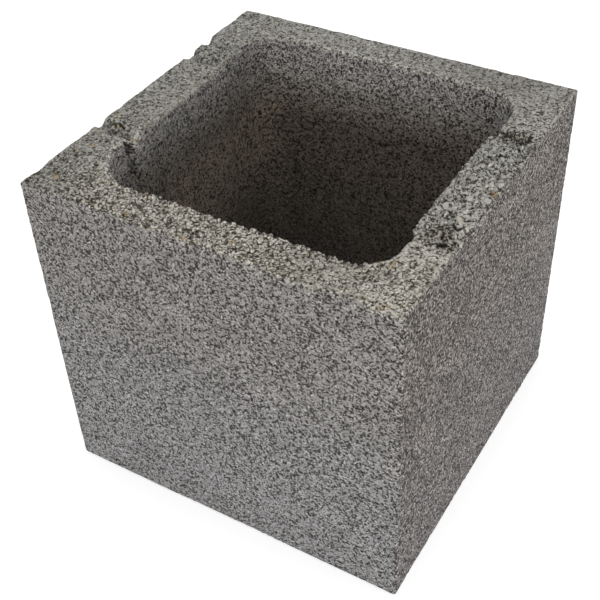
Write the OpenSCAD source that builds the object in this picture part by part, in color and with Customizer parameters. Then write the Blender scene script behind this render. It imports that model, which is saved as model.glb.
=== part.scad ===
/* [Block] */
// Width of the block, left to right
body_w = 200; // [170:1:300]
// Depth of the block, front to back
body_d = 197; // [170:1:300]
// Height of the block
body_h = 189; // [90:1:240]
// Rounding of the outer edges at the top and the bottom
arris_r = 1.6; // [0.8:0.1:4]
// Rounding of the four upright outer edges
upright_r = 1; // [0.5:0.1:4]

/* [Walls at the top] */
// Thickness of the left wall
left_wall = 22; // [18:0.5:34]
// Thickness of the right wall
right_wall = 21; // [18:0.5:34]
// Thickness of the front wall
front_wall = 21.5; // [18:0.5:34]
// Thickness of the back wall
back_wall = 20; // [18:0.5:34]

/* [Core] */
// How much thicker each wall is at the bottom, so that the core pulls out upwards
core_draft = 3; // [1:0.5:6]
// Corner radius at the front left, at the top
front_left_r = 27; // [12:0.5:28]
// Corner radius at the front right, at the top
front_right_r = 17; // [12:0.5:28]
// Corner radius at the back right, at the top
back_right_r = 18; // [12:0.5:28]
// Corner radius at the back left, at the top
back_left_r = 20; // [12:0.5:28]

/* [Core bar bands] */
// Front edge of the band that the core bar leaves on both side walls, from the centre
band_front = 45; // [30:0.5:48]
// Back edge of the band, from the centre
band_back = 39.5; // [30:0.5:48]
// How far the band stands out of the left wall
left_band_proud = 3.5; // [1:0.25:6]
// How far the band stands out of the right wall
right_band_proud = 2.5; // [1:0.25:6]

/* [Core bar marks] */
// Depth of the marks across the top of the left wall
left_mark_depth = 3.6; // [1:0.1:6]
// Depth of the marks across the top of the right wall
right_mark_depth = 2.4; // [1:0.1:6]
// Distance from the front edge of the band back to the front mark
front_mark_inset = 2; // [0:0.5:6]
// Distance from the back edge of the band forward to the back mark
back_mark_inset = 4.5; // [0:0.5:8]
// Distance from the back edge of the band to the second mark behind it in the left wall
second_mark_step = 11.5; // [8:0.5:20]
// Distance from the right wall's marks to the band's edges, outside the band
right_mark_outset = 2.5; // [0:0.5:8]
// Radius of the bites that a mark is torn from
bite_r = 7; // [4:0.25:10]
// Bites in each mark
bite_count = 5; // [3:1:8]

/* [Torn top] */
// Distance between the dips where the top is torn
dip_step = 12; // [10:1:30]
// Radius of the dips
dip_r = 20; // [12:1:30]
// Depth of the dips in the right wall, where the core bar lay
right_dip_depth = 1.2; // [0.4:0.1:1.6]
// Depth of the dips in the front wall
front_dip_depth = 0.8; // [0.4:0.1:1.6]

/* [Hidden] */
$fn = 64;
over = 1;
lo = -over;
hi = body_h + over;
// How far a bite lies off its place in a mark, and a dip off its place in a row
bite_scatter = 1.8;
dip_scatter = 3;
// How much a bite's depth and radius differ from the next one's
bite_depth_share = 0.2;
bite_r_share = 0.2;
// Where the rows of dips lie in a wall, as shares of its thickness from outside
dip_rows = [0.25, 0.75];

// How much thicker a wall is at height z than at the top
function thicker(z) = core_draft * (body_h - z) / body_h;
// The four faces of the core at height z
function core_left(z) = -body_w / 2 + left_wall + thicker(z);
function core_right(z) = body_w / 2 - right_wall - thicker(z);
function core_front(z) = -body_d / 2 + front_wall + thicker(z);
function core_back(z) = body_d / 2 - back_wall - thicker(z);
// A number from -1 to 1 for each place and kind, by the sine hash that shaders use
function chance(place, kind) =
  let (s = 43758.5 * sin(12.99 * place + 78.23 * kind))
  2 * (s - floor(s)) - 1;

// A rectangle with round corners, made of bars and circles so that its arcs stay true
module rounded_rect(w, h, r) {
  square([w, h - 2 * r], center = true);
  square([w - 2 * r, h], center = true);
  for (x = [-1, 1], y = [-1, 1]) {
    translate([x * (w / 2 - r), y * (h / 2 - r)]) circle(r);
  }
}

// The cast body before the core is drawn, with every outer edge rounded
module outer() {
  intersection() {
    linear_extrude(height = body_h) rounded_rect(body_w, body_d, upright_r);
    translate([0, 0, body_h / 2]) rotate([90, 0, 0]) {
      linear_extrude(height = body_d, center = true) rounded_rect(body_w, body_h, arris_r);
    }
    translate([0, 0, body_h / 2]) rotate([90, 0, 90]) {
      linear_extrude(height = body_w, center = true) rounded_rect(body_d, body_h, arris_r);
    }
  }
}

// The core's four drafted faces, meeting in square corners
module core_taper() {
  intersection() {
    rotate([90, 0, 0]) linear_extrude(height = body_d, center = true) {
      polygon([[core_left(lo), lo], [core_right(lo), lo], [core_right(hi), hi], [core_left(hi), hi]]);
    }
    rotate([90, 0, 90]) linear_extrude(height = body_w, center = true) {
      polygon([[core_front(lo), lo], [core_back(lo), lo], [core_back(hi), hi], [core_front(hi), hi]]);
    }
  }
}

// Places its children on the axis of a corner's cone; x and y say which corner
module at_corner(x, y, r) {
  translate([
    x < 0 ? core_left(body_h) + r : core_right(body_h) - r,
    y < 0 ? core_front(body_h) + r : core_back(body_h) - r,
    lo
  ]) children();
}

// Squares off a corner of the core as far as its cone's axis
module corner_cut(x, y, r) {
  at_corner(x, y, r) translate([x < 0 ? -2 * r : 0, y < 0 ? -2 * r : 0, -over]) {
    cube([2 * r, 2 * r, body_h + 4 * over]);
  }
}

// The cone that rounds a corner of the core and keeps its draft
module corner_cone(x, y, r) {
  at_corner(x, y, r) cylinder(h = hi - lo, r1 = r - thicker(lo), r2 = r - thicker(hi));
}

// The core: a drafted square with a different round at each corner
module core() {
  difference() {
    core_taper();
    corner_cut(-1, -1, front_left_r);
    corner_cut(1, -1, front_right_r);
    corner_cut(1, 1, back_right_r);
    corner_cut(-1, 1, back_left_r);
  }
  corner_cone(-1, -1, front_left_r);
  corner_cone(1, -1, front_right_r);
  corner_cone(1, 1, back_right_r);
  corner_cone(-1, 1, back_left_r);
}

// The thicker bands that the core bar leaves down the inside of both side walls
module bands() {
  translate([0, band_back, 0]) rotate([90, 0, 0]) linear_extrude(height = band_front + band_back) {
    polygon([
      [core_left(lo) - over, lo],
      [core_left(lo) + left_band_proud, lo],
      [core_left(hi) + left_band_proud, hi],
      [core_left(hi) - over, hi]
    ]);
    polygon([
      [core_right(lo) + over, lo],
      [core_right(lo) - right_band_proud, lo],
      [core_right(hi) - right_band_proud, hi],
      [core_right(hi) + over, hi]
    ]);
  }
}

// One bite out of the top: a ball sunk to a depth, moved, sized and sunk a little by chance
module bite(x, y, depth, r, scatter, place) {
  own_r = r * (1 + bite_r_share * chance(place, 0));
  own_depth = depth * (1 - bite_depth_share * (1 + chance(place, 1)));
  translate([x + scatter * chance(place, 2), y + scatter * chance(place, 3), body_h - own_depth + own_r]) {
    sphere(own_r);
  }
}

// One ragged mark across a side wall, torn out in overlapping bites
module bar_mark(start, length, y, depth, mark) {
  for (i = [0:bite_count - 1]) {
    bite(start + length * (i + 0.5) / bite_count, y, depth, bite_r, bite_scatter, 10 * mark + i);
  }
}

// The marks in the left wall: at both ends of the band and once more behind it
module left_marks() {
  ys = [-band_front + front_mark_inset, band_back - back_mark_inset, band_back + second_mark_step];
  for (i = [0:2]) {
    bar_mark(-body_w / 2, left_wall + left_band_proud, ys[i], left_mark_depth, i);
  }
}

// The marks in the right wall, just past both ends of the band
module right_marks() {
  ys = [-band_front - right_mark_outset, band_back + right_mark_outset];
  for (i = [0:1]) {
    bar_mark(core_right(body_h) - right_band_proud, right_wall + right_band_proud, ys[i], right_mark_depth, 3 + i);
  }
}

// The dips between the marks of the right wall
module right_dips() {
  start = -band_front - right_mark_outset;
  length = band_front + band_back + 2 * right_mark_outset;
  count = floor(length / dip_step);
  for (row = [0:1], i = [0:count - 1]) {
    x = body_w / 2 - right_wall * dip_rows[row];
    bite(x, start + length * (i + 0.5) / count, right_dip_depth, dip_r, dip_scatter, 50 + 20 * row + i);
  }
}

// The dips along the front wall
module front_dips() {
  start = -body_w / 2 + left_wall;
  length = body_w - left_wall - right_wall;
  count = floor(length / dip_step);
  for (row = [0:1], i = [0:count - 1]) {
    y = -body_d / 2 + front_wall * dip_rows[row];
    bite(start + length * (i + 0.5) / count, y, front_dip_depth, dip_r, dip_scatter, 90 + 40 * row + i);
  }
}

// The block: one casting of dry concrete
module pier_block() {
  color([0.48, 0.47, 0.46]) difference() {
    outer();
    difference() {
      core();
      bands();
    }
    left_marks();
    right_marks();
    right_dips();
    front_dips();
  }
}

pier_block();
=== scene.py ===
"""A hollow cast concrete pier block: its torn, grained surface, its finish, and a white studio round it."""

import math

import bpy
import numpy as np
from mathutils import Matrix, Vector


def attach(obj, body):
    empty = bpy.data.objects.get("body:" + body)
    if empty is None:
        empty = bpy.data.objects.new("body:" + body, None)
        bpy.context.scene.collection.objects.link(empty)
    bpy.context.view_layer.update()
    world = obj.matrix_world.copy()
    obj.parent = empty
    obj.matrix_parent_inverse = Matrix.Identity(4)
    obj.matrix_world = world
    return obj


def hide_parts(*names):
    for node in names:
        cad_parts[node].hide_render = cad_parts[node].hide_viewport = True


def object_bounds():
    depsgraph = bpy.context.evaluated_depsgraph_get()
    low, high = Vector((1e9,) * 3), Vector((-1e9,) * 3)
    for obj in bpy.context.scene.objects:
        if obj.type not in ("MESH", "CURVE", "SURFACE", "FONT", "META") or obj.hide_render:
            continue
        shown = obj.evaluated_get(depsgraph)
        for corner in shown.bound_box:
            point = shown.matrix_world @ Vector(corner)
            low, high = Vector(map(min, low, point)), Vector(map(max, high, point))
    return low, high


bl_info = {
    "name": "Concrete pier block",
    "version": (1, 0, 0),
    "blender": (4, 5, 0),
    "location": "View3D > Sidebar > Pier block",
    "description": "Builds a hollow concrete block with its grain and torn top, and a studio to show it in",
    "category": "Add Mesh",
}

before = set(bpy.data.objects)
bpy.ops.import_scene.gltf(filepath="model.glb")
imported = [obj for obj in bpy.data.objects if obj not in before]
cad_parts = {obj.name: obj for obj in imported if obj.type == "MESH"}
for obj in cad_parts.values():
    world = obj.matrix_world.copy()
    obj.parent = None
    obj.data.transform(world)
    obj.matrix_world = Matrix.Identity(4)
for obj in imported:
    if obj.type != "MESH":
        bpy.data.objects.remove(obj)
CAD_LOW, CAD_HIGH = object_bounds()

MM = 0.001
NEIGHBOURS = [(x, y, z) for x in (-1, 0, 1) for y in (-1, 0, 1) for z in (-1, 0, 1)]


# Properties


def length(name, description, default):
    """A size in metres that a user may change."""
    return bpy.props.FloatProperty(
        name=name, description=description, default=default, min=0, precision=4, unit="LENGTH"
    )


def share(name, description, default, most=1.0):
    """A number without a unit that a user may change."""
    return bpy.props.FloatProperty(name=name, description=description, default=default, min=0, max=most)


def colour(name, description, default):
    """A colour that a user may change."""
    return bpy.props.FloatVectorProperty(
        name=name, description=description, default=default, size=3, min=0, max=1, subtype="COLOR"
    )


def place_of(name, description, default):
    """A place in metres that a user may change."""
    return bpy.props.FloatVectorProperty(name=name, description=description, default=default, unit="LENGTH")


class PierBlockWalls(bpy.types.PropertyGroup):
    """The form of the casting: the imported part's, with crisper outer edges and a rounded core rim"""

    left_wall: length("Left wall", "Thickness of the left wall at the top", 0.022)
    right_wall: length("Right wall", "Thickness of the right wall at the top", 0.021)
    front_wall: length("Front wall", "Thickness of the front wall at the top", 0.0215)
    back_wall: length("Back wall", "Thickness of the back wall at the top", 0.020)
    core_draft: length("Core draft", "How much thicker each wall is at the bottom", 0.003)
    front_left_r: length("Front left round", "Core radius at the front left, at the top", 0.027)
    front_right_r: length("Front right round", "Core radius at the front right, at the top", 0.017)
    back_right_r: length("Back right round", "Core radius at the back right, at the top", 0.018)
    back_left_r: length("Back left round", "Core radius at the back left, at the top", 0.020)
    edge_r: length("Upright edges", "Rounding of the four upright edges", 0.0010)
    arris_r: length("Outer arris", "Rounding of the outer edges at top and bottom", 0.0012)
    rim_r: length("Core rim", "Rounding of the core's rim", 0.0018)
    band_front: length("Band front", "Front end of the core bar band, from the centre", 0.045)
    band_back: length("Band back", "Back end of the core bar band, from the centre", 0.0395)
    left_band: length("Left band", "How far the band stands out of the left wall", 0.0035)
    right_band: length("Right band", "How far the band stands out of the right wall", 0.0025)


class PierBlockTears(bpy.types.PropertyGroup):
    """The core bar marks and the dips in the top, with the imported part's sizes"""

    left_depth: length("Left marks", "Depth of the marks across the left wall", 0.0036)
    right_depth: length("Right marks", "Depth of the marks across the right wall", 0.0024)
    front_inset: length("Front inset", "From the band's front edge back to the left wall's front mark", 0.002)
    back_inset: length("Back inset", "From the band's back edge forward to the left wall's next mark", 0.0045)
    second_step: length("Second mark", "From the band's back edge to the mark behind it", 0.0115)
    right_outset: length("Right outset", "From the band's edges out to the right wall's marks", 0.0025)
    bite_r: length("Bite radius", "Radius of the bites that a mark is torn from", 0.007)
    bite_count: bpy.props.IntProperty(name="Bites", description="Bites in each mark", default=5, min=1)
    dip_step: length("Dip step", "Distance between the dips", 0.012)
    dip_r: length("Dip radius", "Radius of the dips", 0.020)
    right_dips: length("Right dips", "Depth of the dips in the right wall", 0.0012)
    front_dips: length("Front dips", "Depth of the dips in the front wall", 0.0008)


class PierBlockGrain(bpy.types.PropertyGroup):
    """The relief of the grain"""

    pitch: length("Mesh pitch", "Distance between the points that carry the relief", 0.00066)
    triangles: bpy.props.IntProperty(
        name="Triangles", description="Triangles that the finished mesh may have", default=196000, min=1000
    )
    coarse_stone: length("Coarse stones", "Size of the stones where the core bar lay on the right", 0.0031)
    coarse_relief: length("Coarse relief", "How far they stand out", 0.0008)
    fine_stone: length("Fine stones", "Size of the stones elsewhere in the top", 0.0021)
    fine_relief: length("Fine relief", "How far they stand out", 0.0005)
    face_stone: length("Face stones", "Size of the stones in the pressed faces", 0.0034)
    face_relief: length("Face relief", "Depth of the gaps between them", 0.0003)
    core_relief: length("Core relief", "Height of the stones inside the core", 0.0005)
    rim_relief: length("Rim relief", "How far stones stand out of the core's rim", 0.0015)


class PierBlockColours(bpy.types.PropertyGroup):
    """The colours of the concrete, some with painted light or shade in them"""

    face_grey: colour("Faces", "Pressed faces, high up", (0.212, 0.202, 0.192))
    # Painted light: the faces lighter low down, in place of light thrown up by the floor
    foot_lit_grey: colour("Foot", "Pressed faces, low down", (0.234, 0.229, 0.228))
    # Painted shade on the right face, which is also tinted a little warmer
    right_face_shade: colour("Right tint", "What the right face's colour is multiplied by", (0.855, 0.82, 0.80))
    top_grey: colour("Torn top", "Stones in the torn top", (0.416, 0.397, 0.353))
    top_left_grey: colour("Torn top, left", "The same towards the back left", (0.276, 0.273, 0.255))
    # Painted shade: the core's browner colour stands in for the dim, brownish light deep inside it
    core_shade_brown: colour("Deep in the core", "Pressed faces inside the core", (0.225, 0.192, 0.153))
    # Painted light: the left core wall lighter part way down
    core_left_painted_light: colour("Left core wall", "The same high up on the left", (0.31, 0.265, 0.205))
    # Painted shade: darker still at the core's foot
    core_foot_shade: colour("Foot of the core", "The same near the bottom", (0.096, 0.084, 0.071))
    # Dark sand in the narrow gaps, and painted shade in the holes, cracks and creases
    gap_sand_and_shade: colour("Gaps", "Sand between the stones of the torn top", (0.022, 0.017, 0.011))
    joint_brown: colour("Joints", "Narrow joints between the stones of the torn top", (0.105, 0.088, 0.058))
    halo_tan: colour("Tan sand", "Sand that clings to the stones' borders", (0.27, 0.225, 0.145))
    pore: colour("Pores", "Open pores in the pressed faces", (0.028, 0.024, 0.020))
    ochre_stone: colour("Ochre stones", "Iron-stained grains", (0.36, 0.24, 0.10))
    # A raised flash in the mesh, painted paler as well: a painted highlight along the edge
    lip_pale_highlight: colour("Flash", "Thin cement flash along the right arris", (0.40, 0.37, 0.31))


class PierBlockStudio(bpy.types.PropertyGroup):
    """The camera, the lamps and the floor"""

    lens: bpy.props.FloatProperty(
        name="Lens", description="Focal length on a 36 mm sensor", default=65.57, min=1, unit="CAMERA"
    )
    camera_place: place_of("Camera", "Where the camera stands", (0.2349, -0.3882, 0.4777))
    camera_target: place_of("Target", "The point that it looks at", (-0.0001, -0.0166, 0.0944))
    camera_roll: bpy.props.FloatProperty(
        name="Roll", description="Turn about the line of sight", default=math.radians(-2.711), unit="ROTATION"
    )
    sky: share("Sky", "Strength of the even light from all round", 0.38, 4)
    front_lamp: share("Front lamp", "Power of the low lamp in front, in watts", 11.0, 1000)
    side_lamp: share("Side lamp", "Power of the low lamp on the right, in watts", 9.0, 1000)
    rear_lamps: share("Rear lamps", "Power of the low lamps behind and on the left, in watts", 6.0, 1000)
    top_lamp: share("Top lamp", "Power of the lamp above, in watts", 9.0, 1000)
    lamp_height: length("Lamp height", "Height of the low lamps' middle above the floor", 0.45)
    floor_colour: colour("Floor", "Colour of the floor", (0.8, 0.8, 0.8))
    floor_glow: share("Floor glow", "How much white the camera sees in the floor", 0.66)


# Noise on a lattice, worked out for many points at once


def chance(cells, seed):
    """A number from 0 to 1 for each lattice cell, the same on every run."""
    x, y, z = (cells[..., i].astype(np.int64).astype(np.uint32) for i in range(3))
    h = x * np.uint32(374761393) + y * np.uint32(668265263) + z * np.uint32(2246822519)
    h = h + np.uint32(seed * 3266489917 % 2**32)
    h = (h ^ (h >> np.uint32(13))) * np.uint32(1274126177)
    h = (h ^ (h >> np.uint32(15))) * np.uint32(2654435761)
    return ((h ^ (h >> np.uint32(16))) & np.uint32(0xFFFFFF)).astype(np.float64) / 0xFFFFFF


def soft_noise(points, size, seed):
    """Smooth noise from 0 to 1 with swells of about the given size."""
    q = points / size
    cell = np.floor(q)
    f = q - cell
    f = f * f * (3 - 2 * f)
    total = np.zeros(len(points))
    for corner in np.ndindex(2, 2, 2):
        c = np.array(corner)
        weight = np.prod(np.where(c == 1, f, 1 - f), axis=1)
        total += weight * chance(cell + c, seed)
    return total


def stones(points, size, seed, scatter=0.9):
    """Distances to the nearest and the second nearest stone's centre, and a number for the nearest stone."""
    q = points / size
    cell = np.floor(q)
    nearest = np.full(len(points), 9.0)
    second = np.full(len(points), 9.0)
    number = np.zeros(len(points))
    for step in NEIGHBOURS:
        c = cell + np.array(step)
        centre = c + 0.5 + scatter * (np.stack([chance(c, seed + k) for k in (1, 2, 3)], axis=1) - 0.5)
        d = np.linalg.norm(q - centre, axis=1)
        closer = d < nearest
        second = np.where(closer, nearest, np.minimum(second, d))
        number = np.where(closer, chance(c, seed + 4), number)
        nearest = np.where(closer, d, nearest)
    return nearest * size, second * size, number


def ramp(value, start, end):
    """0 before start, 1 after end, and smooth between them."""
    t = np.clip((value - start) / (end - start), 0, 1)
    return t * t * (3 - 2 * t)


# The form of the casting


def outline(low, high, radii, count):
    """Points and outward directions round a rectangle with round corners, count to a side."""
    centres = [
        (low[0] + radii[0], low[1] + radii[0]),
        (high[0] - radii[1], low[1] + radii[1]),
        (high[0] - radii[2], high[1] - radii[2]),
        (low[0] + radii[3], high[1] - radii[3]),
    ]
    points, outward = [], []
    for side in range(4):
        facing = math.radians(270 + 90 * side)
        first, last = np.array(centres[side]), np.array(centres[(side + 1) % 4])
        r_first, r_last = radii[side], radii[(side + 1) % 4]
        ahead = np.array([-math.sin(facing), math.cos(facing)])
        arc_first, arc_last = r_first * math.pi / 4, r_last * math.pi / 4
        straight = float((last - first) @ ahead)
        s = (arc_first + straight + arc_last) * np.arange(count) / count
        angle = facing + np.minimum(s - arc_first, 0) / r_first
        angle = angle + np.maximum(s - arc_first - straight, 0) / r_last
        out = np.stack([np.cos(angle), np.sin(angle)], axis=1)
        middle = first + np.clip(s - arc_first, 0, straight)[:, None] * ahead
        past = s[:, None] > arc_first + straight
        points.append(np.where(past, last, middle) + np.where(past, r_last, r_first) * out)
        outward.append(out)
    return np.concatenate(points), np.concatenate(outward)


class Casting:
    """The block's surface as rows of points: up the outside, over the top and down the core."""

    def __init__(self, walls, pitch):
        self.walls = walls
        self.low, self.high = np.array(CAD_LOW), np.array(CAD_HIGH)
        self.height = self.high[2]
        self.count = round((self.high[0] - self.low[0]) / pitch)
        self.outer, self.outer_way = outline(self.low, self.high, [walls.edge_r] * 4, self.count)
        self.rim, self.rim_way = self.core_outline(self.height)
        self.rows, self.facings, self.inside = [], [], []
        self.trace(pitch)
        self.points = np.array(self.rows).reshape(-1, 3)
        self.normals = np.array(self.facings).reshape(-1, 3)
        self.inside = np.repeat(self.inside, len(self.outer))
        ring = np.tile(np.arange(len(self.outer)), len(self.rows))
        self.from_rim = np.linalg.norm(self.points[:, :2] - self.rim[ring], axis=1) * (1 - self.inside)
        self.from_outside = np.linalg.norm(self.points[:, :2] - self.outer[ring], axis=1)

    def core_outline(self, z):
        """The core's outline at height z, with the bands that stand out of its side walls."""
        w = self.walls
        thicker = w.core_draft * (self.height - z) / self.height
        low = self.low[:2] + (w.left_wall + thicker, w.front_wall + thicker)
        high = self.high[:2] - (w.right_wall + thicker, w.back_wall + thicker)
        radii = [r - thicker for r in (w.front_left_r, w.front_right_r, w.back_right_r, w.back_left_r)]
        points, way = outline(low, high, radii, self.count)
        place = np.column_stack([points, np.full(len(points), z)])
        y = points[:, 1] + 2.4 * MM * (soft_noise(place, 4 * MM, 11) - 0.5)
        y += 1.2 * MM * (soft_noise(place, 1.7 * MM, 12) - 0.5)
        step = 0.5 * MM + 4.5 * MM * min(max((self.height - z - 12 * MM) / (16 * MM), 0), 1)
        band = ramp(y, -w.band_front - step, -w.band_front + step)
        band = band * (1 - ramp(y, w.band_back - step, w.band_back + step))
        points[:, 0] += band * np.where(way[:, 0] < -0.7, w.left_band, 0)
        points[:, 0] -= band * np.where(way[:, 0] > 0.7, w.right_band, 0)
        return points, way

    def add(self, xy, z, way, tilt=0.0, inside=0.0):
        """One row at height z, facing way, tilted up by an angle."""
        self.rows.append(np.column_stack([xy, np.full(len(xy), z)]))
        self.facings.append(np.column_stack([way * math.cos(tilt), np.full(len(xy), math.sin(tilt))]))
        self.inside.append(inside)

    def arc(self, xy, way, r, up, tilts, inside=0.0):
        """Rows over the rounded edge between an upright face and the top, or the bottom."""
        for tilt in tilts:
            z = self.height - r + r * math.sin(tilt) if up else r - r * math.sin(tilt)
            self.add(xy - way * r * (1 - math.cos(tilt)), z, way, tilt if up else -tilt, inside)

    def flat(self, start, end, rows, z, tilt):
        """Rows across the top or the bottom, without their first and last."""
        for t in np.linspace(0, 1, rows)[1:-1]:
            self.add(start + (end - start) * t, z, self.outer_way, tilt)

    def trace(self, pitch):
        """Traces the profile once round, so that the last row meets the first."""
        w, top = self.walls, self.height
        turn = [math.radians(a) for a in (0, 22.5, 45, 67.5, 90)]
        outside_rows = round((top - 2 * w.arris_r) / (2.3 * pitch))
        for z in np.linspace(w.arris_r, top - w.arris_r, outside_rows)[:-1]:
            self.add(self.outer, z, self.outer_way)
        self.arc(self.outer, self.outer_way, w.arris_r, True, turn)
        at_arris = self.outer - self.outer_way * w.arris_r
        at_rim = self.rim + self.rim_way * w.rim_r
        self.flat(at_arris, at_rim, round(w.left_wall / (0.75 * pitch)), top, math.pi / 2)
        self.arc(self.rim, -self.rim_way, w.rim_r, True, turn[::-1], 1.0)
        fine_end = 0.87 * top
        upper = np.linspace(top - w.rim_r, fine_end, round(0.10 * top / pitch))[1:]
        lower = np.linspace(fine_end, w.rim_r, round(0.32 * top / pitch))[1:-1]
        for z in [*upper, *lower]:
            points, way = self.core_outline(z)
            self.add(points, z, -way, 0.0, 1.0)
        foot, foot_way = self.core_outline(w.rim_r)
        self.arc(foot, -foot_way, w.rim_r, False, turn, 1.0)
        at_foot = foot + foot_way * w.rim_r
        self.flat(at_foot, at_arris, round(w.left_wall / (2.6 * pitch)), 0, -math.pi / 2)
        self.arc(self.outer, self.outer_way, w.arris_r, False, turn[:0:-1])


class Tears:
    """The balls that the part's source sinks into the top, those of the left wall moved a little back."""

    # For each left mark: how far back it is moved at the outside and at the core, in mm, and its share of
    # the depth
    DRIFT = ((5.0, 0.5, 1.0), (3.5, 5.0, 0.7), (7.5, 5.0, 0.8))

    def __init__(self, walls, tears):
        self.walls, self.tears, self.balls = walls, tears, []
        left = [
            -walls.band_front + tears.front_inset,
            walls.band_back - tears.back_inset,
            walls.band_back + tears.second_step,
        ]
        right = [-walls.band_front - tears.right_outset, walls.band_back + tears.right_outset]
        for i, y in enumerate(left):
            outer, inner, less = self.DRIFT[i]
            drift = (outer * MM, inner * MM)
            self.mark(CAD_LOW.x, walls.left_wall + walls.left_band, y, less * tears.left_depth, i, drift)
        for i, y in enumerate(right):
            across = walls.right_wall + walls.right_band
            self.mark(CAD_HIGH.x - across, across, y, tears.right_depth, 3 + i)
        self.dips(right, walls.right_wall, tears.right_dips, (50, 20), self.in_right_wall)
        front = [CAD_LOW.x + walls.left_wall, CAD_HIGH.x - walls.right_wall]
        self.dips(front, walls.front_wall, tears.front_dips, (90, 40), self.in_front_wall)

    @staticmethod
    def in_right_wall(along, deep):
        """A place along the right wall, a distance in from its outer face."""
        return CAD_HIGH.x - deep, along

    @staticmethod
    def in_front_wall(along, deep):
        """A place along the front wall, a distance in from its outer face."""
        return along, CAD_LOW.y + deep

    @staticmethod
    def luck(place, kind):
        """A number from -1 to 1, the same one as the part's source has for this place and kind."""
        s = 43758.5 * math.sin(math.radians(12.99 * place + 78.23 * kind))
        return 2 * (s - math.floor(s)) - 1

    def bite(self, x, y, depth, r, scatter, place):
        """Adds one ball, moved, sized and sunk a little by chance."""
        own_r = r * (1 + 0.2 * self.luck(place, 0))
        own_depth = depth * (1 - 0.2 * (1 + self.luck(place, 1)))
        x, y = x + scatter * self.luck(place, 2), y + scatter * self.luck(place, 3)
        self.balls.append((x, y, own_depth, own_r))

    def mark(self, start, across, y, depth, number, drift=(0, 0)):
        """Adds the balls of one ragged mark across a side wall."""
        t = self.tears
        for i in range(t.bite_count):
            along = (i + 0.5) / t.bite_count
            own_y = y + drift[0] + along * (drift[1] - drift[0])
            self.bite(start + across * along, own_y, depth, t.bite_r, 1.8 * MM, 10 * number + i)

    def dips(self, ends, wall, depth, numbers, place):
        """Adds two rows of dips along a wall; numbers holds the first dip's and the second row's step."""
        t = self.tears
        first, step = numbers
        count = math.floor((ends[1] - ends[0]) / t.dip_step + 1e-6)
        for row, share_of_wall in enumerate((0.25, 0.75)):
            for i in range(count):
                x, y = place(ends[0] + (ends[1] - ends[0]) * (i + 0.5) / count, wall * share_of_wall)
                self.bite(x, y, depth, t.dip_r, 3 * MM, first + step * row + i)

    def depth(self, x, y, most_r=1.0):
        """How deep the balls reach below the top at each point, without those larger than most_r."""
        depth = np.zeros(len(x))
        for ball_x, ball_y, ball_depth, r in self.balls:
            if r <= most_r:
                inside = np.maximum(r * r - (x - ball_x) ** 2 - (y - ball_y) ** 2, 0)
                depth = np.maximum(depth, ball_depth - r + np.sqrt(inside))
        return depth


def stone_field(s, place, size):
    """Stones of one size: how far inside its stone a place lies, the stone's number, and how it leans."""
    bent = s.bent(place, 0.7 / size, 0.9 * size)
    edge = s.cells(bent, 1 / size, "Distance", "DISTANCE_TO_EDGE")
    kind = s.cells(bent, 1 / size, "Color")
    middle = s.cells(bent, 1 / size, "Position")
    off = s.vector("SUBTRACT", bent, middle)
    slope = s.vector("SUBTRACT", kind, (0.5, 0.5, 0.5))
    lean = s.vector("DOT_PRODUCT", off, slope, output="Value") / size
    return edge, s.axis(kind, "X"), lean


def measured_stones(points, sizes):
    """The stones that the finish draws, worked out at some points: edge, number and lean for each size."""
    tree = bpy.data.node_groups.new("stone_fields", "GeometryNodeTree")
    for way in ("INPUT", "OUTPUT"):
        tree.interface.new_socket("Geometry", in_out=way, socket_type="NodeSocketGeometry")
    s = Nodes(tree)
    geometry = s.node("NodeGroupInput", output="Geometry")
    place = s.scaled(s.node("GeometryNodeInputPosition"), 1 / MM)
    names = []
    for i, size in enumerate(sizes):
        for kind, wire in zip(("edge", "number", "lean"), stone_field(s, place, size / MM)):
            names.append(f"{kind}_{i}")
            geometry = s.node("GeometryNodeStoreNamedAttribute", {"data_type": "FLOAT", "domain": "POINT"}, {
                "Geometry": geometry, "Name": names[-1], "Value": wire
            }, "Geometry")
    s.node("NodeGroupOutput", None, {"Geometry": geometry})
    mesh = bpy.data.meshes.new("stone_fields")
    mesh.vertices.add(len(points))
    mesh.vertices.foreach_set("co", points.astype(np.float32).ravel())
    cloud = bpy.data.objects.new("stone_fields", mesh)
    bpy.context.scene.collection.objects.link(cloud)
    cloud.modifiers.new("fields", "NODES").node_group = tree
    bpy.context.view_layer.update()
    found = cloud.evaluated_get(bpy.context.evaluated_depsgraph_get()).data.attributes
    values = np.zeros((len(names), len(points)), np.float32)
    for row, name in zip(values, names):
        found[name].data.foreach_get("value", row)
    bpy.data.objects.remove(cloud)
    bpy.data.meshes.remove(mesh)
    bpy.data.node_groups.remove(tree)
    return values.astype(np.float64).reshape(len(sizes), 3, -1)


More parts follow.
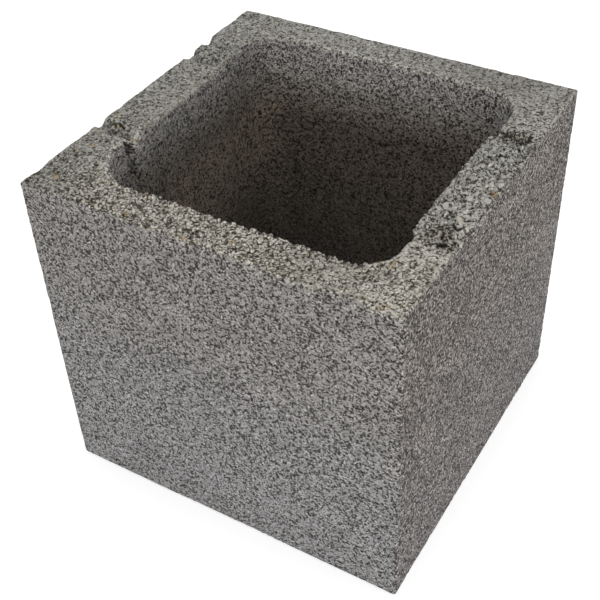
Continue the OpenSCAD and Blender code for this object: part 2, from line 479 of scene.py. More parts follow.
class Relief:
    """How far each point of the casting stands out of it or lies in it, and where the surface is torn."""

    # Cracks in the top, in mm: half width, depth, and the points that each runs through
    CRACKS = (
        (0.5, 1.2, ((79.8, 46.5), (82.6, 45.3), (87.4, 44.5))),
        (0.7, 2.0, ((87.4, 44.5), (91.7, 42.6), (94.1, 43.9))),
        (0.4, 1.0, ((94.1, 43.9), (94.7, 46.7), (97.3, 45.6), (98.4, 45.7))),
        (0.5, 1.2, ((91.3, 37.0), (94.3, 34.8))),
        (0.5, 1.0, ((88.2, 26.3), (91.6, 26.1))),
        (0.6, 1.6, ((90.7, -34.1), (92.3, -34.0), (94.5, -34.5), (96.1, -31.7))),
        (0.6, 1.3, ((-90.5, -34.5), (-88.6, -35.9), (-85.8, -36.3))),
        (0.5, 0.6, ((-94.6, -35.5), (-91.8, -36.2))),
        (0.6, 1.0, ((-85.3, -44.5), (-82.4, -45.0))),
        (0.8, 1.3, ((-91.7, 54.9), (-88.7, 54.4))),
        (0.5, 0.9, ((-96.0, 39.8), (-91.8, 41.9))),
        (0.4, 0.4, ((66.3, 76.9), (70.0, 75.7), (75.7, 69.8))),
        (0.4, 0.4, ((80.5, 70.0), (85.1, 68.0))),
    )
    # Holes in the top, in mm: place and radius
    PITS = (
        (91.3, -46.6, 1.9),
        (88.0, -38.8, 1.2),
        (90.0, -42.2, 0.9),
        (85.6, -43.3, 0.8),
        (88.0, -47.6, 0.9),
        (96.0, -42.5, 0.8),
        (96.8, -46.8, 0.9),
        (98.0, -35.0, 0.8),
        (98.0, 37.9, 0.8),
        (64.2, 86.1, 0.8),
        (-78.8, -42.4, 0.9),
        (-76.3, -43.4, 0.8),
        (-83.2, -40.6, 0.7),
        (-76.8, -34.7, 0.8),
    )
    # Ochre stones in the top, in mm: place and radius
    OCHRE = (
        (97.4, -3.5, 2.4),
        (76.5, -84.2, 1.0),
        (88.6, -97.0, 1.1),
        (91.0, -95.4, 1.0),
        (51.2, -76.9, 1.0),
        (-91.0, -36.6, 1.2),
        (-84.3, -44.6, 1.5),
    )
    # Holes in the core's left wall near its rim, in mm: distance back, height and radius
    WALL_PITS = (
        (-45.2, 187.2, 0.9),
        (-44.2, 184.9, 0.7),
        (-45.4, 181.6, 0.6),
        (-33.6, 187.0, 0.9),
        (44.9, 184.4, 0.8),
        (46.0, 181.2, 0.8),
        (47.2, 177.6, 0.8),
    )
    # Loose places round the marks, in mm: middle, half widths, and how loose
    LOOSE = (
        (90.0, -44.0, 10.0, 11.0, 1.0),
        (89.0, 43.0, 12.0, 6.5, 1.0),
        (-88.0, -40.0, 11.0, 7.0, 0.8),
        (-90.0, 50.0, 9.0, 11.0, 0.5),
    )
    # Depth of the holes in the top and in the wall, and how far down the walls a tear in the top reaches
    PIT_DEPTH, WALL_PIT_DEPTH, TEAR_REACH = 2.4 * MM, 1.4 * MM, 10 * MM
    # Radius that tells the small balls of the marks from the large ones of the dips
    LARGEST_BITE = 9 * MM
    # Size of the stones in the core's faces
    CORE_STONE = 0.0034

    def __init__(self, casting, walls, tears, grain):
        self.points, self.normals = casting.points, casting.normals
        self.low, self.high = casting.low, casting.high
        self.from_rim, self.from_outside, self.inside = casting.from_rim, casting.from_outside, casting.inside
        self.walls, self.grain = walls, grain
        self.drop = casting.height - self.points[:, 2]
        self.tear(Tears(walls, tears))
        self.loose = self.loose_zone()
        self.coarse = self.coarse_zone()
        self.fine = self.fine_zone()

    def noise(self, size, seed):
        """Smooth noise from 0 to 1 over the casting, with swells of a size in mm."""
        return soft_noise(self.points, size * MM, seed)

    def tear(self, tears):
        """How deep the top is torn, with ragged edges, and where the holes and the ochre stones are."""
        x, y, z = self.points.T
        x = x + 1.6 * MM * (self.noise(2.6, 31) - 0.5)
        y = y + 1.6 * MM * (self.noise(2.6, 32) - 0.5)
        self.marks = tears.depth(x, y, most_r=self.LARGEST_BITE)
        self.ochre = self.spots(x, y, self.OCHRE)
        self.pits = self.spots(x, y, self.PITS)
        holes = self.PIT_DEPTH * self.pits
        broken = ramp(self.noise(1.7, 33), 0.25, 0.45)
        for half, deep, path in self.CRACKS:
            crack = np.exp(-((self.beside(x, y, np.array(path) * MM) / (half * MM)) ** 4)) * broken
            self.pits = np.maximum(self.pits, crack)
            holes = np.maximum(holes, deep * MM * crack)
        fade_down = 1 - ramp(self.drop, 0, self.TEAR_REACH)
        self.cut = (tears.depth(x, y) + holes) * fade_down
        # Holes in the left core wall and creases at the band's ends: sunk into the mesh, and painted dark as
        # shade through the gap mask
        self.wall_pits_and_crease_shade = np.maximum(self.spots(y, z, self.WALL_PITS), self.creases(y))
        self.wall_pits_and_crease_shade *= self.inside * (x < -70 * MM)

    @staticmethod
    def spots(across, up, places):
        """1 in some round spots, and 0 outside; places holds their middles and radii in mm."""
        most = np.zeros(len(across))
        for middle_across, middle_up, r in places:
            far = np.hypot(across - middle_across * MM, up - middle_up * MM) / (r * MM)
            most = np.maximum(most, np.exp(-(far**4)))
        return most

    def creases(self, y):
        """Painted shade in the creases high up where the left band's two ends meet the wall, which are also
        sunk in as shallow grooves.
        """
        w = self.walls
        beside = np.minimum(np.abs(y + w.band_front + 0.8 * MM), np.abs(y - w.band_back - 0.8 * MM))
        broken = ramp(self.noise(2.2, 34), 0.2, 0.5)
        return 0.5 * np.exp(-((beside / (0.9 * MM)) ** 2)) * (1 - ramp(self.drop, 14 * MM, 24 * MM)) * broken

    @staticmethod
    def beside(x, y, path):
        """Distance from a line through some points, seen from above."""
        distance = np.full(len(x), 1.0)
        for start, end in zip(path[:-1], path[1:]):
            way = end - start
            along = np.clip(((x - start[0]) * way[0] + (y - start[1]) * way[1]) / (way @ way), 0, 1)
            aside = np.hypot(x - start[0] - along * way[0], y - start[1] - along * way[1])
            distance = np.minimum(distance, aside)
        return distance

    def loose_zone(self):
        """1 where the torn concrete is loosest, with a ragged border."""
        x, y, _ = self.points.T
        ragged = 0.9 * (self.noise(5, 26) - 0.5)
        ragged += 0.5 * (self.noise(2, 27) - 0.5)
        loose = np.zeros(len(x))
        for middle_x, middle_y, half_x, half_y, most in self.LOOSE:
            far = np.hypot((x / MM - middle_x) / half_x, (y / MM - middle_y) / half_y)
            loose = np.maximum(loose, most * (1 - ramp(far + ragged, 0.6, 1.1)))
        return loose * (1 - ramp(self.drop, 4 * MM, 9 * MM))

    def coarse_zone(self):
        """1 where the top is coarsest: between the marks of the right wall, and in all the marks."""
        x, y, _ = self.points.T
        w = self.walls
        wobble = 5 * MM * (self.noise(9, 23) - 0.5)
        right = ramp(x + 0.5 * wobble, 0.072, 0.077)
        y = y + wobble
        band = ramp(y, -w.band_front - 6 * MM, -w.band_front)
        band *= 1 - ramp(y, w.band_back, w.band_back + 6 * MM)
        in_marks = 0.7 * ramp(self.marks, 0.2 * MM, 1.4 * MM)
        return np.maximum(right * band, in_marks) * (1 - 0.5 * self.loose)

    def fine_zone(self):
        """How rough the rest of the top is: most at the front, least at the back."""
        x, y, _ = self.points.T
        wobble = 8 * MM * (self.noise(14, 24) - 0.5)
        front = 1 - ramp(y + wobble, -0.080, -0.060)
        front = front * (1 - 0.7 * ramp(x + wobble, 0.030, 0.075) * (1 - ramp(y, -0.088, -0.080)))
        left = 1 - ramp(x + wobble, -0.080, -0.070)
        patch = 0.8 + 0.4 * self.noise(12, 25)
        rough = (0.18 + 0.55 * front + 0.16 * left * (1 - front)) * patch
        return np.maximum(np.maximum(rough, 0.8 * self.coarse), 0.9 * self.loose)

    def torn(self):
        """1 on the torn top and its rims, 0 on the pressed faces, with an irregular border."""
        border = self.noise(7, 21) + 0.8 * self.noise(2.4, 22) - 0.8
        border = 3.0 * MM * border * np.clip(1.4 * self.fine, 0.15, 1)
        reach = np.where(self.inside > 0.5, 2.0 * MM, 1.0 * MM)
        return 1 - ramp(self.drop - self.cut + border * (self.drop > 0.1 * MM), 0.2 * MM, reach)

    def top_height(self):
        """The torn top: stones of two sizes with gaps between, and holes where a stone is gone."""
        g = self.grain
        coarse, fine = measured_stones(self.points, (g.coarse_stone, g.fine_stone))
        edge, number, lean = coarse
        dome = 1 - (1 - ramp(edge, 0.0, 0.42)) ** 2
        lump = self.noise(3.5, 45) - 0.5
        big = 1.3 * dome + 0.8 * (number - 0.5) + 1.6 * lean + 0.8 * lump - 1.0
        edge, number, lean = fine
        lost = number < 0.05
        small = ramp(edge, 0.0, 0.16) + 0.8 * (number - 0.5) + 1.6 * lean - 0.75 - lost
        height = self.coarse * g.coarse_relief * big
        height += self.fine * g.fine_relief * small * (1 - 0.6 * self.coarse)
        return height * (1 + 0.8 * self.loose) - 0.2 * MM * self.loose

    def face_height(self):
        """A pressed face: flush stones with narrow gaps, and pores."""
        g = self.grain
        near, second, who = stones(self.points, g.face_stone, 51)
        gap = np.exp(-(((second - near) / (0.2 * g.face_stone)) ** 2))
        open_place = ramp(soft_noise(self.points, 3 * g.face_stone, 52), 0.35, 0.7)
        fine = soft_noise(self.points, 0.35 * g.face_stone, 53)
        lost = (who > 0.93) * np.clip(1 - (near / (0.42 * g.face_stone)) ** 2, 0, 1)
        return g.face_relief * (0.4 - 0.75 * gap * (0.35 + open_place) - 0.35 * fine - 1.6 * lost)

    def core_height(self):
        """Inside the core: pressed as well, but more open."""
        g = self.grain
        near, _, who = stones(self.points, self.CORE_STONE, 61)
        crown = 1 - (near / (0.7 * self.CORE_STONE)) ** 2
        fine = self.noise(1.3, 62) - 0.5
        return g.core_relief * (0.6 * crown + 0.5 * (who - 0.5) - 0.35 + 0.4 * fine)

    def rim_height(self):
        """Stones that stand out of the core's rim, most of all at the front."""
        g = self.grain
        x, y, _ = self.points.T
        near, _, who = stones(self.points, 1.15 * g.fine_stone, 71)
        big, _, who_big = stones(self.points, g.coarse_stone, 72)
        front = ramp(-y, 0.070, 0.076) * ramp(x, -0.060, -0.045)
        rough = 0.12 + 0.88 * np.maximum(front, 0.3 * self.coarse)
        close = np.exp(-((self.from_rim / (2.8 * MM)) ** 2)) * (1 - ramp(self.drop, 1 * MM, 6 * MM))
        crown = 1 - (near / (0.8 * g.fine_stone)) ** 2
        crown_big = 1 - (big / (0.8 * g.coarse_stone)) ** 2
        height = 0.9 * crown + 0.9 * (who - 0.5) + 0.5 * crown_big + 0.5 * (who_big - 0.5) - 0.6
        return g.rim_relief * rough * close * height

    def chips(self):
        """How far the outer arris at the top is broken back."""
        place = soft_noise(self.points * (1, 1, 0.5), 7 * MM, 81)
        place += 0.5 * self.noise(2.4, 82)
        at_edge = np.exp(-((self.drop / (2.2 * MM)) ** 2)) * np.exp(-((self.from_outside / (2.2 * MM)) ** 2))
        return 1.5 * MM * self.fine * ramp(place, 0.6, 1.2) * at_edge

    def lip(self):
        """The thin flash that stands up along the right arris near both of its corners."""
        x, y, _ = self.points.T
        ends = np.maximum(ramp(-y, 0.062, 0.068) * ramp(-y, 0.0985, 0.094), ramp(y, 0.056, 0.062))
        along = ends * ramp(x, 0.0987, 0.0996) * (1 - ramp(self.drop, 0.2 * MM, 0.7 * MM))
        rim = ramp(-x, 0.070, 0.072) * ramp(y, -0.036, -0.030) * (1 - ramp(y, 0.000, 0.030))
        rim = rim * (1 - ramp(self.from_rim, 0.3 * MM, 0.9 * MM)) * (1 - ramp(self.drop, 0.6 * MM, 1.4 * MM))
        broken = ramp(self.noise(4, 83), 0.25, 0.55)
        return np.maximum(along, 0.5 * rim) * broken

    def apply(self):
        """The displaced points, and the masks that the finish reads."""
        torn, lip = self.torn(), self.lip()
        pressed = (1 - self.inside) * self.face_height() + self.inside * self.core_height()
        height = torn * self.top_height() + (1 - torn) * pressed + self.rim_height() - self.chips()
        height += 0.25 * MM * (self.noise(38, 91) - 0.4) + 0.35 * MM * lip
        height -= self.WALL_PIT_DEPTH * self.wall_pits_and_crease_shade
        bottom = ramp(-self.normals[:, 2], 0.2, 0.9)
        height = height * (1 - bottom) + bottom * (self.face_height() - 0.2 * MM)
        moved = self.points + self.normals * height[:, None]
        moved[:, 2] -= self.cut
        spare = np.array((0.25, 0.25, 0)) * MM
        moved = np.clip(moved, self.low - spare, self.high + spare + (0, 0, 0.4 * MM))
        return moved, {
            "torn": torn,
            # The holes, cracks and creases, which the finish paints dark as shade
            "gap": np.maximum(torn * self.pits * (1 - lip), self.wall_pits_and_crease_shade),
            "lip": lip,
            "inside": self.inside,
            "coarse": self.coarse,
            "rough": self.fine,
            "loose": self.loose,
            "ochre": torn * self.ochre,
        }


def block_mesh(walls, tears, grain):
    """The block's mesh: a grid that runs round the ring and over it."""
    casting = Casting(walls, grain.pitch * (1))
    points, masks = Relief(casting, walls, tears, grain).apply()
    rest = casting.points / MM
    rows, around = len(casting.rows), 4 * casting.count
    index = np.arange(rows * around).reshape(rows, around)
    ahead, above = np.roll(index, -1, axis=1), np.roll(index, -1, axis=0)
    quads = np.stack([index, ahead, np.roll(above, -1, axis=1), above], axis=-1).reshape(-1, 4)
    mesh = bpy.data.meshes.new("pier_block_casting")
    mesh.vertices.add(len(points))
    mesh.vertices.foreach_set("co", points.astype(np.float32).ravel())
    mesh.loops.add(quads.size)
    mesh.loops.foreach_set("vertex_index", quads.astype(np.int32).ravel())
    mesh.polygons.add(len(quads))
    mesh.polygons.foreach_set("loop_start", np.arange(0, quads.size, 4, dtype=np.int32))
    mesh.update(calc_edges=True)
    for name, values in masks.items():
        mesh.attributes.new(name, "FLOAT", "POINT").data.foreach_set("value", values.astype(np.float32))
    rest_values = mesh.attributes.new("rest", "FLOAT_VECTOR", "POINT").data
    rest_values.foreach_set("vector", rest.astype(np.float32).ravel())
    mesh.validate()
    return mesh


def thin(piece, triangles):
    """Thins the piece's mesh to a number of triangles, where it is flattest."""
    now = sum(len(p.vertices) - 2 for p in piece.data.polygons)
    if now <= triangles:
        return
    modifier = piece.modifiers.new("thin", "DECIMATE")
    modifier.ratio = triangles / now
    bpy.context.view_layer.update()
    thinned = bpy.data.meshes.new_from_object(piece.evaluated_get(bpy.context.evaluated_depsgraph_get()))
    piece.modifiers.clear()
    piece.data = thinned


# Shader maths and the finishes


class Wire:
    """A shader socket that can be used in sums."""

    def __init__(self, shader, socket):
        self.shader, self.socket = shader, socket

    def math(self, operation, *others):
        sockets = dict(enumerate([self, *others]))
        return self.shader.node("ShaderNodeMath", {"operation": operation}, sockets)

    def __add__(self, other):
        return self.math("ADD", other)

    def __sub__(self, other):
        return self.math("SUBTRACT", other)

    def __rsub__(self, other):
        return self.math("MULTIPLY_ADD", -1.0, other)

    def __mul__(self, other):
        return self.math("MULTIPLY", other)

    def __truediv__(self, other):
        return self.math("DIVIDE", other)

    __radd__ = __add__
    __rmul__ = __mul__


class Nodes:
    """Makes the nodes of one tree."""

    def __init__(self, tree):
        self.tree = tree
        self.tree.nodes.clear()

    def node(self, kind, settings=None, sockets=None, output=0):
        """Adds a node, sets it, and fills its sockets; returns one of its outputs."""
        made = self.tree.nodes.new(kind)
        for key, value in (settings or {}).items():
            if key == "stops":
                self.stops(made.color_ramp, value)
            else:
                setattr(made, key, value)
        for key, value in (sockets or {}).items():
            socket = self.find(made.inputs, key)
            if isinstance(value, Wire):
                self.tree.links.new(value.socket, socket)
            else:
                socket.default_value = value
        return Wire(self, self.find(made.outputs, output)) if made.outputs else None

    @staticmethod
    def find(sockets, key):
        """A socket by its number, its identifier or its name."""
        if isinstance(key, int):
            return sockets[key]
        return next(s for s in sockets if key in (s.identifier, s.name))

    @staticmethod
    def stops(band, values):
        """Sets a ramp's stops; values holds (place, grey) pairs."""
        while len(band.elements) > 1:
            band.elements.remove(band.elements[-1])
        for i, (place, grey) in enumerate(values):
            stop = band.elements[0] if i == 0 else band.elements.new(place)
            stop.position = place
            stop.color = (grey, grey, grey, 1)

    def steps(self, wire, *values):
        """A curve through (place, grey) pairs."""
        return self.node("ShaderNodeValToRGB", {"stops": values}, {"Fac": wire})

    def noise(self, place, scale, detail=2.0, roughness=0.55):
        return self.node("ShaderNodeTexNoise", None, {
            "Vector": place, "Scale": scale, "Detail": detail, "Roughness": roughness
        })

    def cells(self, place, scale, output, feature="F1"):
        sockets = {"Vector": place, "Scale": scale}
        return self.node("ShaderNodeTexVoronoi", {"feature": feature}, sockets, output)

    def vector(self, operation, *values, output=0):
        """Maths on whole vectors."""
        return self.node("ShaderNodeVectorMath", {"operation": operation}, dict(enumerate(values)), output)

    def axis(self, vector, name):
        """One axis of a vector, as a number."""
        return self.node("ShaderNodeSeparateXYZ", None, {"Vector": vector}, name)

    def scaled(self, place, scale):
        return self.node("ShaderNodeVectorMath", {"operation": "SCALE"}, {"Vector": place, "Scale": scale})

    def bent(self, place, scale, most):
        """The place, moved about by noise, so that cells lose their straight edges."""
        sockets = {"Vector": place, "Scale": scale, "Detail": 1.0}
        bend = self.node("ShaderNodeTexNoise", None, sockets, "Color")
        return self.vector("MULTIPLY_ADD", bend, (most,) * 3, place)

    def mix(self, factor, first, second, blend="MIX"):
        """Colours first and second, mixed by factor."""
        return self.node("ShaderNodeMix", {"data_type": "RGBA", "blend_type": blend}, {
            "Factor_Float": factor, "A_Color": paint(first), "B_Color": paint(second)
        }, "Result_Color")


def new_material(name):
    """A material, and what makes its nodes."""
    material = bpy.data.materials.new(name)
    material.use_nodes = True
    return material, Nodes(material.node_tree)


def paint(value):
    """A colour as a socket takes it."""
    return value if isinstance(value, Wire) else (*value, 1)


def greys(s, tone):
    """A number as a grey colour."""
    return s.node("ShaderNodeCombineColor", None, {0: tone, 1: tone, 2: tone})


def part_of(s, wire, name):
    """One channel of a colour, as a number."""
    return s.node("ShaderNodeSeparateColor", None, {"Color": wire}, name)


def fade(s, wire, start, end, most=1.0):
    """0 where the wire is at start, most where it is at end."""
    return s.node("ShaderNodeMapRange", None, {
        "Value": wire, "From Min": start, "From Max": end, "To Min": 0.0, "To Max": most
    })


class ConcreteFinish:
    """Dry-pressed concrete: sand, grains and pores, with dark gaps between the stones where it is torn, and
    painted shade in its holes, cracks and creases.

    Places in it are in millimetres, as the mesh's own points are.
    """

    MASKS = ("torn", "gap", "lip", "inside", "coarse", "rough", "loose", "ochre")
    # How many cells or swells of each pattern there are to a millimetre
    SWELL, MOTTLE, PATCH, SAND = 0.03, 0.2, 0.5, 1.0
    SPECK, SPOT, GRAIN, STONE, PIT = 1.6, 1.0, 0.72, 0.36, 0.75
    # The least share of its colour that any grain keeps
    DARKEST = 0.12

    def __init__(self, colours, grain):
        self.material, self.s = new_material("pier_block_concrete")
        self.colours = colours
        s = self.s
        self.mask = {}
        for name in self.MASKS:
            self.mask[name] = s.node("ShaderNodeAttribute", {"attribute_name": name}, output="Fac")
        self.place = s.scaled(s.node("ShaderNodeTexCoord", output="Object"), 1 / MM)
        self.along = s.axis(self.place, "X")
        self.back = s.axis(self.place, "Y")
        self.height = s.axis(self.place, "Z")
        rest = s.node("ShaderNodeAttribute", {"attribute_name": "rest"}, output="Vector")
        self.big_edge, _, _ = stone_field(s, rest, grain.coarse_stone / MM)
        self.small_edge, self.small_number, _ = stone_field(s, rest, grain.fine_stone / MM)
        self.right = fade(s, self.along, 98.6, 99.4)
        self.left = fade(s, self.along, -64.0, -72.0)
        self.low = fade(s, self.height, 40.0, 90.0)
        self.patterns()
        self.openings()
        self.joints()
        self.finish()

    def patterns(self):
        """The noises and cells that everything else is drawn with."""
        s, place = self.s, self.place
        self.swell = s.noise(place, self.SWELL) - 0.5
        self.mottle = s.noise(place, self.MOTTLE, 2) - 0.5
        self.patch = s.noise(place, self.PATCH, 1) - 0.5
        self.sand = s.noise(place, self.SAND, 1, 0.7) - 0.5
        self.speck = part_of(s, s.cells(place, self.SPECK, "Color"), "Red")
        spot = part_of(s, s.cells(place, self.SPOT, "Color"), "Green")
        self.kind = s.cells(place, self.GRAIN, "Color")
        self.grain = part_of(s, self.kind, "Red") - 0.5
        self.dark = s.steps(self.speck, (0.10, 1.0), (0.13, 0.0))
        self.dark = self.dark.math("MAXIMUM", s.steps(spot, (0.05, 1.0), (0.06, 0.0)))
        self.light = s.steps(self.speck, (0.94, 0.0), (0.96, 1.0))

    def openings(self):
        """Pores, pits and cracks of the pressed faces: more on the right face and high up."""
        s, place = self.s, self.place
        inward = s.cells(place, self.GRAIN, "Distance", "DISTANCE_TO_EDGE")
        chosen = part_of(s, self.kind, "Green") + 0.03 * self.right + 0.02 * self.low
        pore = fade(s, chosen, 0.958, 0.968) * fade(s, inward, 0.04, 0.16)
        bent = s.bent(place, 0.8, 1.4)
        chosen = part_of(s, s.cells(bent, self.PIT, "Color"), "Blue")
        chosen = chosen + 0.03 * self.low + 0.03 * fade(s, self.along, -80.0, -30.0)
        chosen = chosen + self.right * (0.06 + 0.09 * fade(s, self.back, 60.0, -60.0))
        pit = fade(s, chosen, 0.885, 0.90) * fade(s, s.cells(bent, self.PIT, "Distance"), 0.56, 0.42)
        self.pore = pore.math("MAXIMUM", pit)
        stone_edge = s.cells(place, self.STONE, "Distance", "DISTANCE_TO_EDGE")
        self.crack = fade(s, stone_edge, 0.12, 0.04) * fade(s, self.patch, 0.02, 0.12)

    def joints(self):
        """Joints, lost stones and clinging sand of the torn top: more where it is rough or loose."""
        s, patch = self.s, self.patch
        coarse, rough, loose = (self.mask[name] for name in ("coarse", "rough", "loose"))
        self.lost = s.steps(self.small_number, (0.05, 1.0), (0.06, 0.0)) * rough
        shown = (1 - coarse) * fade(s, patch + 0.32 * rough, 0.08, 0.22)
        shown = shown.math("MAXIMUM", loose * fade(s, patch, -0.10, 0.04))
        small = shown * fade(s, self.small_edge - 0.05 * loose, 0.12, 0.06)
        big = coarse * fade(s, self.big_edge - 0.05 * loose, 0.09, 0.03)
        big = big * fade(s, patch + 0.1 * loose, -0.10, 0.06)
        self.joint = small.math("MAXIMUM", big)
        self.hole = self.joint * fade(s, patch + 0.1 * rough + 0.08 * loose, 0.10, 0.18)
        halo = (1 - coarse) * fade(s, self.small_edge, 0.30, 0.12)
        self.halo = halo * fade(s, patch + 0.1 * rough, -0.12, 0.10)

    def tone(self):
        """How light each grain is, against the colour of the place, with painted light high in the core and
        painted shade high on its left wall.
        """
        s, along, back = self.s, self.along, self.back
        torn, inside, coarse = (self.mask[name] for name in ("torn", "inside", "coarse"))
        tone = 1.45 * (self.speck - 0.5) + 0.4 * self.grain + 0.8 * self.sand
        tone = tone + 0.4 * self.mottle + 0.4 * self.swell
        tone = 1.12 + (0.62 + 0.08 * self.low + 0.86 * self.right) * tone
        tone = tone * (1 - 0.82 * self.dark) + 0.6 * self.light
        top = 1.05 + (0.64 - 0.2 * coarse) * (self.speck - 0.5 + self.sand)
        top = top + 0.12 * self.mottle + 0.1 * (self.small_number - 0.5)
        # The top made darker or lighter in places: darker where x runs from about 25 to 88 mm, a little
        # darker at the front left, and at the back darker to the right and lighter to the left
        top_darker = 0.19 * fade(s, along, 25.0, 45.0) * fade(s, along, 88.0, 72.0)
        top_darker = top_darker + 0.05 * fade(s, along, -60.0, -75.0) * fade(s, back, 60.0, 20.0)
        behind = fade(s, along, -20.0, 60.0, 0.05) - fade(s, along, -40.0, -90.0, 0.07)
        top = top * (1.04 - top_darker - fade(s, back, 60.0, 90.0) * behind)
        top = top * (1 - 0.6 * self.dark) + 0.4 * self.light
        tone = (tone + torn * (top - tone)).math("MAXIMUM", self.DARKEST)
        # Painted light high in the core under its rim, and painted shade high on its left wall behind the
        # band's front
        rim_light_and_shade = 0.17 - 0.38 * self.left * fade(s, back, -48.0, -30.0)
        return tone * (1 + inside * fade(s, self.height, 152.0, 176.0) * rim_light_and_shade)

    def place_colour(self):
        """The colour of each place: the faces, the torn top and the core, with painted light and shade: the
        core browner and darker as it deepens, lighter part way down its left wall, the faces lighter low down
        and the right face darker.
        """
        s, colours, height = self.s, self.colours, self.height
        # Painted light: the faces turn lighter towards the foot, as if lit from the floor
        face = s.mix(fade(s, height, 150.0, 40.0), colours.face_grey, colours.foot_lit_grey)
        # Painted shade: the right face darker, and a little warmer
        face = s.mix(self.right, face, s.mix(1.0, face, colours.right_face_shade, "MULTIPLY"))
        # Painted shade: the core darker towards its foot
        core = s.mix(fade(s, height, 120.0, 40.0), colours.core_shade_brown, colours.core_foot_shade)
        # Painted light: the left core wall lighter from about 90 to 158 mm high, most from 125 to 140 mm
        left_band = self.left * fade(s, height, 158.0, 140.0) * fade(s, height, 90.0, 125.0)
        core = s.mix(left_band, core, colours.core_left_painted_light)
        from_back_left = fade(s, self.along, -90.0, -55.0) * fade(s, self.back, 100.0, -90.0)
        top = s.mix(from_back_left, colours.top_left_grey, colours.top_grey)
        # Painted shade: below the rim the core takes its browner, darker colours
        deep = self.mask["inside"] * fade(s, height, 174.0, 146.0)
        return s.mix(deep, s.mix(self.mask["torn"], face, top), core)

    def base_colour(self):
        """The colour with its grain, stones, pores and gaps."""
        s, colours, torn = self.s, self.colours, self.mask["torn"]
        base = s.mix(1.0, self.place_colour(), greys(s, self.tone()), "MULTIPLY")
        base = s.mix(torn * self.halo * 0.3, base, colours.halo_tan)
        few = s.steps(self.small_number, (0.984, 0.0), (0.988, 0.8)) * fade(s, self.small_edge, 0.03, 0.12)
        few = torn * few * fade(s, self.back, 20.0, -60.0)
        placed = fade(s, self.mask["ochre"], 0.25, 0.6, 0.65) * (1 - 0.7 * self.dark)
        base = s.mix(few.math("MAXIMUM", placed), base, colours.ochre_stone)
        base = s.mix(0.92 * self.pore.math("MAXIMUM", self.crack * (1 - torn)), base, colours.pore)
        base = s.mix(torn * self.joint * 0.7, base, colours.joint_brown)
        # Painted shade: the holes, lost stones, cracks and creases painted near black, with dark sand in the
        # gaps
        gap = torn * self.hole.math("MAXIMUM", self.lost) * 0.9
        gap = gap.math("MAXIMUM", fade(s, self.mask["gap"], 0.12, 0.5, 0.94))
        base = s.mix(gap, base, colours.gap_sand_and_shade)
        # Painted highlight: the flash along the right arris and the core rim painted paler, on top of its
        # real relief
        return s.mix(0.6 * self.mask["lip"], base, colours.lip_pale_highlight)

    def finish(self):
        """Joins it all in one surface."""
        s = self.s
        bumps = 0.5 * self.sand + 0.3 * self.grain - 0.8 * self.dark - 1.0 * self.pore
        bumps = bumps - 0.8 * self.crack - 0.7 * self.mask["torn"] * self.joint
        normal = s.node("ShaderNodeBump", None, {"Strength": 1.0, "Distance": 0.5 * MM, "Height": bumps})
        surface = s.node("ShaderNodeBsdfPrincipled", None, {
            "Base Color": self.base_colour(),
            "Roughness": 0.9 + 0.1 * self.sand,
            "Specular IOR Level": 0.25,
            "Normal": normal,
        })
        s.node("ShaderNodeOutputMaterial", None, {"Surface": surface})


def floor_material(studio):
    """A white floor that keeps the block's shadow: the camera sees some of it glow."""
    material, s = new_material("studio_floor")
    seen = s.node("ShaderNodeLightPath", output="Is Camera Ray")
    matt = s.node("ShaderNodeBsdfDiffuse", None, {"Color": paint(studio.floor_colour)})
    dim = s.node("ShaderNodeBsdfDiffuse", None, {"Color": paint([c * 0.6 for c in studio.floor_colour])})
    glow = s.node("ShaderNodeEmission", None, {"Color": paint((1, 1, 1)), "Strength": studio.floor_glow})
    shown = s.node("ShaderNodeAddShader", None, {0: dim, 1: glow})
    surface = s.node("ShaderNodeMixShader", None, {0: seen, 1: matt, 2: shown})
    s.node("ShaderNodeOutputMaterial", None, {"Surface": surface})
    return material


# Operators


class PIER_OT_block(bpy.types.Operator):
    """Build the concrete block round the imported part"""

    bl_idname = "pier.block"
    bl_label = "Build block"

    def execute(self, context):
        scene = context.scene
        mesh = block_mesh(scene.pier_walls, scene.pier_tears, scene.pier_grain)
        piece = bpy.data.objects.new("pier_block_concrete", mesh)
        scene.collection.objects.link(piece)
        thin(piece, scene.pier_grain.triangles)
        piece.data.shade_smooth()
        piece.data.materials.append(ConcreteFinish(scene.pier_colours, scene.pier_grain).material)
        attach(piece, "root")
        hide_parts("pier_block")
        return {"FINISHED"}


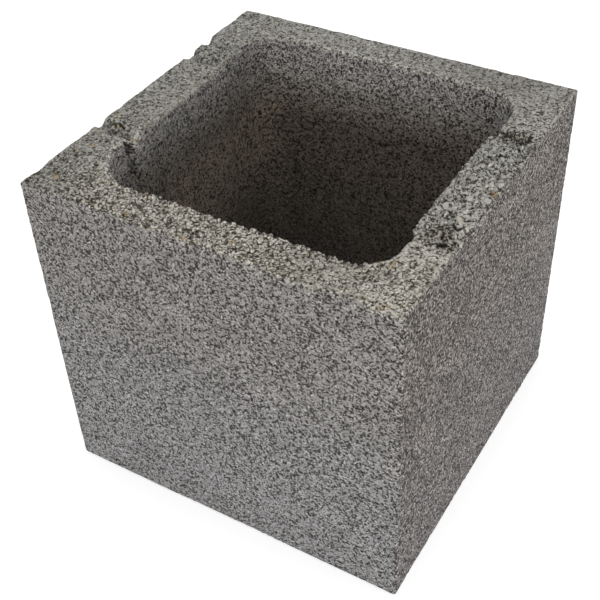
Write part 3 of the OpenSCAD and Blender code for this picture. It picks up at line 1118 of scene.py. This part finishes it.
class PIER_OT_studio(bpy.types.Operator):
    """Build the camera, the lamps and the floor"""

    bl_idname = "pier.studio"
    bl_label = "Build studio"

    def execute(self, context):
        studio = context.scene.pier_studio
        self.camera(context.scene, studio)
        low, flat = studio.lamp_height, (1.2, 0.28)
        self.lamp(context.scene, "front_lamp", studio.front_lamp, flat, (0.35, -1.4, low))
        self.lamp(context.scene, "side_lamp", studio.side_lamp, flat, (1.45, -0.1, low - 0.1))
        self.lamp(context.scene, "back_lamp", studio.rear_lamps, flat, (0.1, 1.45, low))
        self.lamp(context.scene, "left_lamp", studio.rear_lamps, flat, (-1.45, 0.1, low))
        self.lamp(context.scene, "top_lamp", studio.top_lamp, (0.5, 0.5), (0, 0, 1.6))
        self.world(context.scene, studio)
        self.floor(context.scene, studio)
        return {"FINISHED"}

    @staticmethod
    def camera(scene, studio):
        data = bpy.data.cameras.new("camera")
        data.lens, data.sensor_width = studio.lens, 36
        camera = bpy.data.objects.new("camera", data)
        scene.collection.objects.link(camera)
        place, target = Vector(studio.camera_place), Vector(studio.camera_target)
        turn = (target - place).to_track_quat("-Z", "Y").to_matrix()
        turn = turn @ Matrix.Rotation(studio.camera_roll, 3, "Z")
        camera.matrix_world = Matrix.Translation(place) @ turn.to_4x4()
        data.clip_start, data.clip_end = 0.01, 20
        scene.camera = camera

    @staticmethod
    def lamp(scene, name, power, size, place):
        data = bpy.data.lights.new(name, "AREA")
        data.shape, data.energy = "RECTANGLE", power
        data.size, data.size_y = size
        lamp = bpy.data.objects.new(name, data)
        scene.collection.objects.link(lamp)
        lamp.location = place
        aim = Vector((0, 0, CAD_HIGH.z / 2)) - Vector(place)
        lamp.rotation_euler = aim.to_track_quat("-Z", "Y").to_euler()

    @staticmethod
    def world(scene, studio):
        world = bpy.data.worlds.new("studio_light")
        world.use_nodes = True
        scene.world = world
        s = Nodes(world.node_tree)
        seen = s.node("ShaderNodeLightPath", output="Is Camera Ray")
        strength = s.node("ShaderNodeMapRange", None, {"Value": seen, "To Min": studio.sky, "To Max": 1.0})
        sky = s.node("ShaderNodeBackground", None, {"Color": paint((1, 1, 1)), "Strength": strength})
        s.node("ShaderNodeOutputWorld", None, {"Surface": sky})

    @staticmethod
    def floor(scene, studio):
        mesh = bpy.data.meshes.new("studio_floor")
        half = 1.3
        corners = [(-half, -half, 0), (half, -half, 0), (half, half, 0), (-half, half, 0)]
        mesh.from_pydata(corners, [], [(0, 1, 2, 3)])
        floor = bpy.data.objects.new("studio_floor", mesh)
        scene.collection.objects.link(floor)
        floor.data.materials.append(floor_material(studio))
        floor.location.z = CAD_LOW.z


class PIER_PT_panel(bpy.types.Panel):
    """The block's sizes, colours and studio"""

    bl_idname = "PIER_PT_panel"
    bl_label = "Pier block"
    bl_space_type = "VIEW_3D"
    bl_region_type = "UI"
    bl_category = "Pier block"

    def draw(self, context):
        for title, group in GROUPS.items():
            box = self.layout.box()
            box.label(text=title)
            settings = getattr(context.scene, group[0])
            for key in settings.bl_rna.properties.keys():
                if key not in ("rna_type", "name"):
                    box.prop(settings, key)
        self.layout.operator(PIER_OT_block.bl_idname)
        self.layout.operator(PIER_OT_studio.bl_idname)


GROUPS = {
    "Walls": ("pier_walls", PierBlockWalls),
    "Tears": ("pier_tears", PierBlockTears),
    "Grain": ("pier_grain", PierBlockGrain),
    "Colours": ("pier_colours", PierBlockColours),
    "Studio": ("pier_studio", PierBlockStudio),
}
CLASSES = [group[1] for group in GROUPS.values()] + [PIER_OT_block, PIER_OT_studio, PIER_PT_panel]


def register():
    for each in CLASSES:
        bpy.utils.register_class(each)
    for name, group in GROUPS.values():
        setattr(bpy.types.Scene, name, bpy.props.PointerProperty(type=group))


def unregister():
    for name, _ in GROUPS.values():
        delattr(bpy.types.Scene, name)
    for each in reversed(CLASSES):
        bpy.utils.unregister_class(each)


def main():
    register()
    bpy.context.scene.view_settings.view_transform = "Standard"
    bpy.ops.pier.block()
    bpy.ops.pier.studio()
    bpy.context.view_layer.update()


if __name__ == "__main__":
    main()
